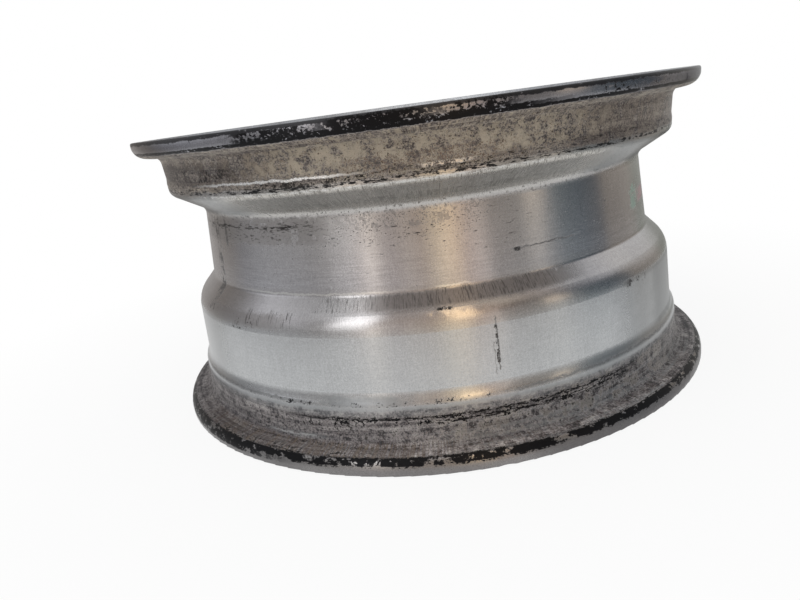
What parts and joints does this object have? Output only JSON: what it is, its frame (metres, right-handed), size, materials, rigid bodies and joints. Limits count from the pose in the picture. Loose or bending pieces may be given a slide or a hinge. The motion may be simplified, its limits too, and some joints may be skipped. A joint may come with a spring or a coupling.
{
  "type": "alloy wheel",
  "caption": "One-piece cast alloy road wheel rim with spokes, drop well and bead seats, hub bore and bolt holes, and a snap-in tyre valve.",
  "frame": {"origin": "centre of the hub's mounting face", "axes": "+Z runs outboard along the wheel's axis, from the mounting face to the wheel's face, and the valve is at the +Y side"},
  "size_m": [0.4416, 0.4416, 0.2144],
  "materials": {
    "alloy": "bare turned cast aluminium, weathered and stained at the bead seats",
    "valve_rubber": "black moulded rubber",
    "valve_brass": "dull brass",
    "cap_plastic": "black moulded plastic"
  },
  "bodies": {
    "root": {"wheel": "alloy", "valve_body": "valve_rubber", "valve_stem": "valve_brass", "valve_core": "valve_brass", "valve_cap": "cap_plastic"}
  },
  "joints": []
}
